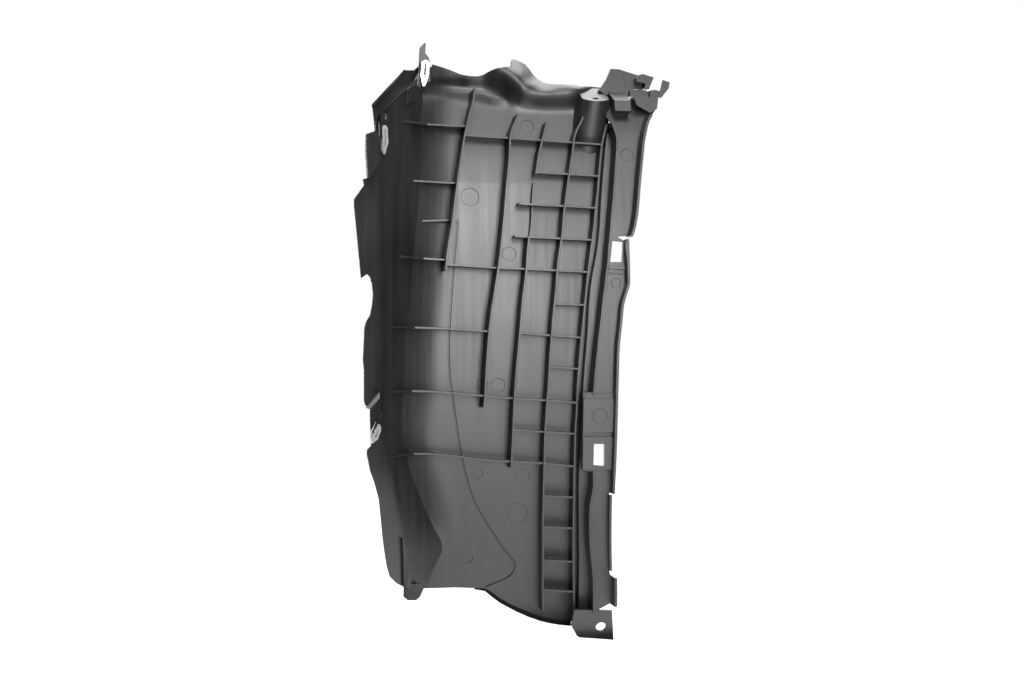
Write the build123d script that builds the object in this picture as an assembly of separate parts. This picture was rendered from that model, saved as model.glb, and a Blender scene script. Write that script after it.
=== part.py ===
from build123d import *
import math
import os

# Wheel arch liner: one stiff plastic moulding with three sheet steel spring clips.
# X runs across the liner, +Z is up, and the ribbed side faces -Y.
# The origin is the centre of the lower fixing hole. A "level" is a depth measured
# from the ribbed face of the main panel, negative towards the ribbed side (-Y).

# ---- driving dimensions, mm ----
WALL = 2.5            # wall thickness of the moulding
RIB_T = 1.5           # rib thickness
LIP_T = 2.0           # thickness of the lip along the flange
ARCH_R = 800.0        # radius of the panel's arch
STRIP_LEVEL = -8.0    # strip beside the panel
FLANGE_LEVEL = -22.0  # fixing flange
STEP_EDGE = -24.0     # near edge of the step between strip and flange
LIP_TOP = -35.0       # near edge of the flange's lip, upper run
LIP_MID = -31.0
LIP_LOW = -28.0
LIP_END = -35.0
GROOVE_W = 1.2        # fine groove across the panel
GROOVE_D = 1.2
MARK_D = 0.5          # depth of the ejector pin marks
TAB_T = 2.0           # lower tab
TAB_HOLE_R = 4.3
TOWER_HOLE_R = 2.4
TOWER_HOLE_L = 18.0
TOWER_CORE_R = 3.0    # wider core behind the screw hole, open at the back
BLADE_T = 2.5         # plastic blade that a clip is pushed on
BLADE_W = 6.2
BLADE_DOWN = 11.0     # blade below the clip's shoulder
CLIP_T = 0.6          # spring clip: sheet, play on the blade, widths and heights
CLIP_GAP = 0.05
CLIP_W = 6.3
CLIP_BARB_W = 7.0
CLIP_RING = 4.2
CLIP_BODY = 13.0
CLIP_LEN = 22.0
CLIP_ROOM = 0.25      # free room around a clip
TOWER_DRAFT = (0.17, 0.07, 0.10)   # spread of the screw tower per mm down: left, right, front

# axis of the panel's arch, parallel to X
ARCH_Y = 780.86
ARCH_Z = 253.76
# stations of the main panel's ribbed face, rows from top to bottom
PANEL = [
    [(-151.0, -8.56, 469.17), (-147.1, -6.22, 469.79), (-141.91, -3.39, 470.56), (-135.48, -0.57, 471.37), (-127.88, 1.54, 472.08), (-119.6, 2.37, 472.56), (-109.23, 2.22, 472.92), (-98.8, 2.2, 473.31), (-88.11, 3.53, 473.98), (-75.29, 16.21, 477.04), (-63.52, 22.0, 478.66), (-51.81, 26.81, 480.07), (-40.77, 27.81, 480.69), (-30.01, 27.25, 480.98), (-19.32, 26.31, 481.19), (-8.5, 25.82, 481.5), (2.83, 27.31, 482.23), (13.88, 27.44, 482.67)],
    [(-150.95, -8.82, 463.53), (-147.06, -6.57, 464.12), (-141.9, -3.96, 464.82), (-135.5, -1.37, 465.57), (-127.9, 0.79, 466.28), (-119.58, 1.91, 466.81), (-109.15, 2.24, 467.25), (-98.7, 2.42, 467.67), (-88.37, 1.65, 467.9), (-76.56, 8.96, 469.78), (-64.87, 14.72, 471.35), (-52.88, 21.27, 473.09), (-41.73, 23.12, 473.87), (-31.14, 22.04, 474.04), (-20.56, 20.88, 474.2), (-9.53, 21.52, 474.73), (2.09, 24.35, 475.72), (13.1, 24.48, 476.15)],
    [(-150.92, -9.05, 457.9), (-147.05, -6.92, 458.45), (-141.92, -4.55, 459.09), (-135.55, -2.19, 459.78), (-127.95, 0.0, 460.47), (-119.6, 1.36, 461.03), (-109.12, 2.1, 461.55), (-98.65, 2.42, 461.99), (-88.67, -0.26, 461.83), (-77.86, 1.65, 462.58), (-66.22, 7.56, 464.14), (-53.92, 16.02, 466.22), (-42.59, 18.94, 467.19), (-32.11, 17.56, 467.3), (-21.65, 16.1, 467.39), (-10.4, 17.87, 468.13), (1.41, 21.65, 469.29), (12.39, 21.77, 469.71)],
    [(-150.9, -8.96, 453.13), (-147.04, -6.88, 453.66), (-141.93, -4.67, 454.26), (-135.58, -2.49, 454.89), (-127.98, -0.31, 455.57), (-119.63, 1.12, 456.14), (-109.1, 2.13, 456.7), (-98.61, 2.63, 457.16), (-88.91, -1.71, 456.68), (-78.9, -4.08, 456.58), (-67.46, 1.06, 457.95), (-54.91, 11.07, 460.28), (-43.36, 15.27, 461.48), (-32.96, 13.71, 461.55), (-22.58, 12.06, 461.6), (-11.14, 14.82, 462.53), (0.84, 19.39, 463.81), (11.79, 19.5, 464.22)],
    [(-150.86, -8.38, 449.25), (-146.99, -6.31, 449.77), (-141.89, -4.12, 450.35), (-135.54, -1.96, 450.97), (-127.95, 0.15, 451.62), (-119.62, 1.39, 452.14), (-109.08, 2.45, 452.7), (-98.56, 3.14, 453.19), (-88.99, -2.01, 452.57), (-79.42, -6.78, 452.01), (-68.52, -4.35, 452.83), (-55.82, 6.66, 455.32), (-44.12, 11.77, 456.67), (-33.77, 10.13, 456.72), (-23.44, 8.36, 456.75), (-11.82, 12.0, 457.82), (0.33, 17.41, 459.24), (11.27, 17.51, 459.64)],
    [(-150.72, -6.74, 445.57), (-146.83, -4.56, 446.1), (-141.71, -2.31, 446.68), (-135.36, -0.16, 447.28), (-127.76, 1.9, 447.92), (-119.44, 3.0, 448.4), (-108.92, 3.82, 448.9), (-98.4, 4.41, 449.36), (-88.76, -0.45, 448.8), (-79.38, -6.37, 448.04), (-69.21, -7.76, 448.13), (-56.88, 1.54, 450.24), (-45.09, 7.26, 451.68), (-34.76, 5.74, 451.75), (-24.44, 4.1, 451.8), (-12.64, 8.67, 453.04), (-0.22, 15.23, 454.65), (10.7, 15.33, 455.04)],
    [(-150.52, -4.46, 441.98), (-146.59, -1.95, 442.56), (-141.36, 1.02, 443.27), (-134.89, 3.94, 444.0), (-127.28, 5.87, 444.6), (-119.01, 6.42, 444.97), (-108.56, 6.58, 445.35), (-98.08, 6.69, 445.71), (-88.28, 2.71, 445.33), (-78.97, -3.83, 444.47), (-69.54, -9.25, 443.81), (-58.22, -4.96, 444.95), (-46.48, 0.81, 446.37), (-36.15, -0.48, 446.48), (-25.83, -1.88, 446.57), (-13.69, 4.33, 448.09), (-0.94, 12.4, 449.95), (9.95, 12.49, 450.33)],
    [(-150.48, -3.48, 438.15), (-146.53, -0.87, 438.74), (-141.29, 2.2, 439.45), (-134.8, 5.21, 440.19), (-127.15, 7.42, 440.82), (-118.8, 8.44, 441.27), (-108.3, 8.76, 441.67), (-97.79, 8.92, 442.04), (-87.77, 6.0, 441.85), (-78.47, -0.79, 440.96), (-69.66, -9.61, 439.7), (-59.06, -8.92, 440.17), (-47.92, -5.82, 441.07), (-37.65, -7.18, 441.17), (-27.41, -8.67, 441.24), (-15.8, -4.43, 442.36), (-1.83, 8.85, 445.14), (9.03, 8.94, 445.51)],
    [(-150.67, -4.44, 433.97), (-146.76, -2.12, 434.5), (-141.59, 0.4, 435.09), (-135.19, 2.83, 435.72), (-127.55, 5.08, 436.34), (-119.12, 6.79, 436.91), (-108.52, 7.79, 437.42), (-97.95, 8.33, 437.85), (-87.65, 7.06, 437.96), (-78.09, 1.64, 437.33), (-69.28, -7.37, 436.06), (-59.27, -9.71, 435.98), (-48.91, -10.38, 436.19), (-38.37, -10.3, 436.54), (-27.79, -10.21, 436.9), (-16.25, -6.23, 437.95), (-2.63, 5.71, 440.43), (8.21, 5.8, 440.79)],
    [(-151.09, -7.38, 429.46), (-147.19, -5.09, 429.97), (-142.05, -2.68, 430.53), (-135.69, -0.41, 431.12), (-128.08, 1.75, 431.72), (-119.7, 3.26, 432.23), (-109.16, 4.08, 432.7), (-98.57, 4.94, 433.17), (-87.92, 5.81, 433.65), (-78.03, 2.28, 433.37), (-68.8, -4.61, 432.5), (-58.87, -7.48, 432.32), (-48.63, -8.84, 432.41), (-38.04, -8.62, 432.78), (-27.34, -8.09, 433.2), (-15.93, -4.76, 434.12), (-3.26, 3.26, 435.86), (7.56, 3.34, 436.22)],
    [(-151.43, -9.78, 424.66), (-147.55, -7.5, 425.16), (-142.41, -5.0, 425.72), (-136.04, -2.6, 426.31), (-128.46, -0.55, 426.88), (-120.15, 0.56, 427.32), (-109.71, 0.88, 427.69), (-99.22, 1.31, 428.08), (-88.61, 2.14, 428.54), (-78.29, 1.09, 428.68), (-68.4, -2.29, 428.43), (-58.24, -4.14, 428.43), (-47.88, -5.07, 428.6), (-37.25, -4.86, 428.95), (-26.53, -4.4, 429.36), (-15.45, -2.63, 429.99), (-3.78, 1.26, 430.98), (7.03, 1.33, 431.32)],
    [(-151.69, -11.42, 419.21), (-147.82, -9.15, 419.69), (-142.68, -6.59, 420.25), (-136.3, -4.09, 420.84), (-128.74, -2.07, 421.39), (-120.47, -1.12, 421.79), (-110.07, -1.0, 422.11), (-99.64, -0.87, 422.44), (-89.16, -0.72, 422.78), (-78.7, -0.84, 423.07), (-68.25, -1.23, 423.32), (-57.75, -1.48, 423.59), (-47.21, -1.66, 423.87), (-36.57, -1.59, 424.2), (-25.91, -1.52, 424.53), (-15.2, -1.44, 424.86), (-4.25, -0.52, 425.33), (6.54, -0.45, 425.66)],
    [(-151.93, -12.81, 413.42), (-148.06, -10.55, 413.88), (-142.92, -7.97, 414.43), (-136.55, -5.44, 415.0), (-128.99, -3.43, 415.53), (-120.74, -2.51, 415.91), (-110.36, -2.41, 416.23), (-99.94, -2.33, 416.54), (-89.5, -2.3, 416.84), (-79.02, -2.27, 417.15), (-68.5, -2.21, 417.46), (-57.94, -2.14, 417.78), (-47.35, -2.08, 418.09), (-36.72, -2.01, 418.41), (-26.05, -1.94, 418.72), (-15.34, -1.88, 419.04), (-4.6, -1.81, 419.36), (6.18, -1.74, 419.68)],
    [(-152.19, -14.26, 406.04), (-148.32, -12.01, 406.48), (-143.2, -9.45, 407.0), (-136.84, -6.94, 407.55), (-129.29, -4.95, 408.06), (-121.05, -4.05, 408.42), (-110.69, -3.99, 408.72), (-100.28, -3.93, 409.01), (-89.85, -3.87, 409.31), (-79.37, -3.81, 409.61), (-68.87, -3.75, 409.91), (-58.32, -3.69, 410.21), (-47.74, -3.63, 410.51), (-37.12, -3.57, 410.81), (-26.47, -3.51, 411.11), (-15.78, -3.45, 411.42), (-5.05, -3.39, 411.72), (5.71, -3.33, 412.03)],
    [(-152.65, -16.79, 392.19), (-148.8, -14.56, 392.59), (-143.69, -12.03, 393.07), (-137.34, -9.54, 393.57), (-129.82, -7.58, 394.03), (-121.6, -6.7, 394.36), (-111.26, -6.64, 394.63), (-100.89, -6.59, 394.9), (-90.49, -6.54, 395.17), (-80.05, -6.49, 395.44), (-69.57, -6.44, 395.72), (-59.05, -6.39, 395.99), (-48.51, -6.34, 396.27), (-37.92, -6.29, 396.54), (-27.3, -6.24, 396.82), (-16.64, -6.19, 397.1), (-5.95, -6.14, 397.38), (4.79, -6.09, 397.66)],
    [(-153.24, -20.03, 371.98), (-149.4, -17.83, 372.33), (-144.3, -15.33, 372.74), (-137.98, -12.88, 373.18), (-130.49, -10.95, 373.58), (-122.3, -10.08, 373.86), (-112.15, -10.04, 374.09), (-101.97, -10.0, 374.32), (-91.75, -9.97, 374.56), (-81.5, -9.93, 374.79), (-71.22, -9.89, 375.02), (-60.9, -9.86, 375.25), (-50.55, -9.82, 375.49), (-40.16, -9.79, 375.72), (-29.74, -9.75, 375.96), (-19.28, -9.71, 376.2), (-8.79, -9.68, 376.43), (1.74, -9.64, 376.67)],
    [(-154.99, -23.4, 346.35), (-151.17, -21.23, 346.63), (-146.1, -18.76, 346.96), (-139.81, -16.34, 347.31), (-132.34, -14.44, 347.63), (-124.18, -13.59, 347.86), (-114.12, -13.56, 348.05), (-104.01, -13.54, 348.24), (-93.88, -13.52, 348.42), (-83.71, -13.5, 348.61), (-73.51, -13.47, 348.8), (-63.28, -13.45, 348.98), (-53.01, -13.43, 349.17), (-42.71, -13.41, 349.36), (-32.38, -13.38, 349.55), (-22.0, -13.36, 349.74), (-11.6, -13.34, 349.93), (-1.16, -13.31, 350.12)],
    [(-158.51, -26.54, 314.59), (-154.71, -24.37, 314.79), (-149.66, -21.9, 315.03), (-143.4, -19.49, 315.28), (-135.97, -17.59, 315.51), (-127.85, -16.75, 315.68), (-117.75, -16.73, 315.81), (-107.62, -16.72, 315.94), (-97.46, -16.71, 316.08), (-87.27, -16.7, 316.21), (-77.04, -16.69, 316.34), (-66.78, -16.68, 316.48), (-56.49, -16.67, 316.61), (-46.16, -16.65, 316.75), (-35.79, -16.64, 316.88), (-25.39, -16.63, 317.02), (-14.96, -16.62, 317.16), (-4.49, -16.61, 317.29)],
    [(-161.02, -29.99, 283.04), (-157.19, -27.46, 283.18), (-152.12, -24.58, 283.34), (-145.83, -21.77, 283.51), (-138.39, -19.56, 283.66), (-130.26, -18.59, 283.77), (-120.41, -18.57, 283.85), (-110.54, -18.57, 283.93), (-100.62, -18.57, 284.0), (-90.68, -18.56, 284.08), (-80.71, -18.56, 284.16), (-70.7, -18.56, 284.24), (-60.66, -18.55, 284.32), (-50.59, -18.55, 284.4), (-40.49, -18.55, 284.48), (-30.35, -18.54, 284.56), (-20.18, -18.54, 284.64), (-9.98, -18.54, 284.72)],
    [(-164.33, -30.96, 253.3), (-160.51, -28.34, 253.36), (-155.44, -25.35, 253.42), (-149.16, -22.44, 253.49), (-141.72, -20.15, 253.55), (-133.61, -19.15, 253.59), (-123.71, -19.14, 253.62), (-113.78, -19.14, 253.65), (-103.82, -19.14, 253.68), (-93.82, -19.14, 253.71), (-83.8, -19.14, 253.74), (-73.74, -19.14, 253.77), (-63.65, -19.14, 253.8), (-53.53, -19.14, 253.83), (-43.37, -19.14, 253.86), (-33.18, -19.14, 253.89), (-22.96, -19.14, 253.92), (-12.71, -19.14, 253.95)],
    [(-166.53, -30.4, 223.63), (-162.71, -27.78, 223.6), (-157.65, -24.79, 223.56), (-151.38, -21.87, 223.52), (-143.94, -19.58, 223.48), (-135.84, -18.58, 223.46), (-125.95, -18.56, 223.44), (-116.04, -18.56, 223.42), (-106.1, -18.56, 223.4), (-96.12, -18.56, 223.38), (-86.11, -18.56, 223.36), (-76.07, -18.56, 223.35), (-65.99, -18.56, 223.33), (-55.89, -18.56, 223.31), (-45.75, -18.56, 223.29), (-35.58, -18.56, 223.27), (-25.37, -18.56, 223.25), (-15.13, -18.56, 223.23)],
    [(-167.19, -28.75, 193.9), (-163.37, -26.11, 193.78), (-158.3, -23.11, 193.64), (-152.02, -20.18, 193.49), (-144.58, -17.87, 193.36), (-136.46, -16.86, 193.27), (-126.67, -16.84, 193.2), (-116.84, -16.84, 193.13), (-106.99, -16.83, 193.07), (-97.1, -16.83, 193.0), (-87.18, -16.82, 192.93), (-77.23, -16.82, 192.87), (-67.25, -16.81, 192.8), (-57.24, -16.81, 192.73), (-47.19, -16.8, 192.66), (-37.11, -16.8, 192.59), (-27.0, -16.79, 192.53), (-16.86, -16.79, 192.46)],
    [(-168.32, -26.64, 169.55), (-164.49, -23.88, 169.35), (-159.4, -20.75, 169.12), (-153.11, -17.74, 168.88), (-145.66, -15.45, 168.66), (-137.55, -14.59, 168.53), (-127.72, -14.57, 168.42), (-117.86, -14.56, 168.32), (-107.97, -14.55, 168.21), (-98.05, -14.54, 168.1), (-88.1, -14.53, 168.0), (-78.11, -14.52, 167.89), (-68.1, -14.5, 167.78), (-58.05, -14.49, 167.67), (-47.96, -14.48, 167.56), (-37.85, -14.47, 167.45), (-27.7, -14.46, 167.35), (-17.52, -14.45, 167.24)],
    [(-166.32, -24.33, 149.77), (-162.47, -21.55, 149.51), (-157.37, -18.4, 149.2), (-151.05, -15.37, 148.89), (-143.57, -13.05, 148.61), (-135.44, -12.17, 148.43), (-125.83, -12.16, 148.29), (-116.19, -12.14, 148.16), (-106.52, -12.12, 148.02), (-96.82, -12.1, 147.89), (-87.09, -12.08, 147.75), (-77.33, -12.07, 147.61), (-67.54, -12.05, 147.48), (-57.72, -12.03, 147.34), (-47.87, -12.01, 147.2), (-37.99, -11.99, 147.06), (-28.07, -11.97, 146.92), (-18.12, -11.95, 146.78)],
    [(-161.35, -21.42, 132.15), (-157.51, -18.91, 131.86), (-152.4, -16.02, 131.52), (-146.07, -13.16, 131.15), (-138.56, -10.83, 130.82), (-130.35, -9.65, 130.57), (-121.15, -9.57, 130.41), (-111.93, -9.55, 130.25), (-102.68, -9.52, 130.1), (-93.41, -9.5, 129.94), (-84.1, -9.47, 129.78), (-74.77, -9.45, 129.62), (-65.41, -9.42, 129.47), (-56.03, -9.4, 129.31), (-46.61, -9.37, 129.15), (-37.17, -9.35, 128.99), (-27.69, -9.32, 128.83), (-18.19, -9.3, 128.66)],
    [(-153.85, -17.68, 114.28), (-149.99, -15.3, 113.95), (-144.86, -12.57, 113.57), (-138.49, -9.88, 113.16), (-130.95, -7.69, 112.78), (-122.71, -6.61, 112.5), (-114.08, -6.54, 112.33), (-105.43, -6.51, 112.16), (-96.76, -6.48, 111.98), (-88.07, -6.44, 111.81), (-79.35, -6.41, 111.64), (-70.6, -6.38, 111.46), (-61.83, -6.35, 111.29), (-53.04, -6.32, 111.11), (-44.22, -6.29, 110.94), (-35.38, -6.25, 110.76), (-26.51, -6.22, 110.58), (-17.61, -6.19, 110.41)],
    [(-147.61, -13.97, 99.46), (-143.73, -11.66, 99.11), (-138.57, -9.05, 98.69), (-132.19, -6.51, 98.25), (-124.63, -4.55, 97.85), (-116.38, -3.75, 97.58), (-108.22, -3.71, 97.39), (-100.04, -3.67, 97.21), (-91.84, -3.64, 97.03), (-83.61, -3.6, 96.84), (-75.36, -3.56, 96.66), (-67.09, -3.52, 96.47), (-58.8, -3.49, 96.29), (-50.49, -3.45, 96.1), (-42.15, -3.41, 95.91), (-33.79, -3.37, 95.73), (-25.41, -3.34, 95.54), (-17.0, -3.3, 95.35)],
    [(-141.3, -9.39, 86.01), (-137.42, -7.39, 85.66), (-132.28, -5.15, 85.24), (-125.91, -3.02, 84.82), (-118.36, -1.45, 84.44), (-110.12, -0.96, 84.17), (-102.42, -0.92, 83.99), (-94.69, -0.88, 83.8), (-86.95, -0.83, 83.61), (-79.19, -0.79, 83.41), (-71.41, -0.75, 83.22), (-63.61, -0.71, 83.03), (-55.79, -0.67, 82.84), (-47.95, -0.62, 82.65), (-40.09, -0.58, 82.45), (-32.21, -0.54, 82.26), (-24.31, -0.5, 82.06), (-16.39, -0.45, 81.87)],
    [(-137.18, -3.59, 73.92), (-133.36, -2.27, 73.63), (-128.29, -0.79, 73.3), (-121.99, 0.56, 72.95), (-114.5, 1.49, 72.63), (-106.28, 1.69, 72.39), (-98.84, 1.74, 72.19), (-91.39, 1.78, 71.99), (-83.91, 1.83, 71.8), (-76.42, 1.88, 71.6), (-68.91, 1.92, 71.4), (-61.38, 1.97, 71.2), (-53.83, 2.02, 71.0), (-46.26, 2.06, 70.8), (-38.68, 2.11, 70.6), (-31.07, 2.16, 70.39), (-23.45, 2.21, 70.19), (-15.81, 2.25, 69.99)],
    [(-139.86, 2.43, 61.85), (-136.14, 2.89, 61.68), (-131.18, 3.41, 61.47), (-124.99, 3.92, 61.22), (-117.57, 4.33, 60.96), (-109.34, 4.5, 60.71), (-101.61, 4.56, 60.49), (-93.85, 4.61, 60.26), (-86.08, 4.67, 60.04), (-78.28, 4.73, 59.82), (-70.47, 4.78, 59.6), (-62.64, 4.84, 59.37), (-54.78, 4.89, 59.15), (-46.91, 4.95, 58.92), (-39.02, 5.01, 58.7), (-31.1, 5.06, 58.47), (-23.17, 5.12, 58.25), (-15.22, 5.18, 58.02)],
    [(-146.17, 7.7, 48.29), (-142.5, 7.73, 48.17), (-137.6, 7.77, 48.02), (-131.46, 7.82, 47.83), (-124.08, 7.88, 47.61), (-115.86, 7.95, 47.35), (-107.54, 8.02, 47.1), (-99.2, 8.08, 46.84), (-90.84, 8.15, 46.58), (-82.46, 8.22, 46.32), (-74.05, 8.29, 46.06), (-65.62, 8.36, 45.8), (-57.16, 8.43, 45.54), (-48.68, 8.5, 45.28), (-40.18, 8.57, 45.02), (-31.66, 8.65, 44.75), (-23.11, 8.72, 44.49), (-14.53, 8.79, 44.23)],
    [(-150.64, 12.88, 29.71), (-146.96, 12.91, 29.59), (-142.04, 12.96, 29.42), (-135.89, 13.02, 29.21), (-128.48, 13.1, 28.96), (-120.24, 13.18, 28.67), (-111.48, 13.27, 28.38), (-102.69, 13.35, 28.08), (-93.89, 13.44, 27.78), (-85.05, 13.53, 27.47), (-76.19, 13.62, 27.17), (-67.3, 13.71, 26.87), (-58.39, 13.8, 26.57), (-49.45, 13.89, 26.26), (-40.49, 13.98, 25.95), (-31.5, 14.07, 25.65), (-22.48, 14.16, 25.34), (-13.44, 14.26, 25.03)],
    [(-150.27, 19.79, 7.23), (-146.56, 19.84, 7.09), (-141.62, 19.9, 6.9), (-135.42, 19.98, 6.67), (-127.98, 20.07, 6.38), (-119.68, 20.17, 6.07), (-110.83, 20.28, 5.73), (-101.95, 20.39, 5.39), (-93.05, 20.5, 5.05), (-84.12, 20.61, 4.71), (-75.17, 20.73, 4.37), (-66.19, 20.84, 4.03), (-57.18, 20.95, 3.69), (-48.14, 21.06, 3.34), (-39.08, 21.18, 3.0), (-29.99, 21.29, 2.65), (-20.88, 21.41, 2.3), (-11.73, 21.52, 1.96)],
    [(-149.29, 30.54, -23.75), (-145.55, 30.6, -23.92), (-140.56, 30.68, -24.14), (-134.3, 30.78, -24.41), (-126.78, 30.9, -24.74), (-118.4, 31.04, -25.1), (-109.44, 31.18, -25.5), (-100.45, 31.33, -25.89), (-91.44, 31.48, -26.28), (-82.4, 31.62, -26.68), (-73.33, 31.77, -27.07), (-64.23, 31.92, -27.47), (-55.11, 32.07, -27.87), (-45.96, 32.22, -28.27), (-36.77, 32.37, -28.67), (-27.57, 32.53, -29.08), (-18.33, 32.68, -29.48), (-9.07, 32.83, -29.89)],
]
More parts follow.
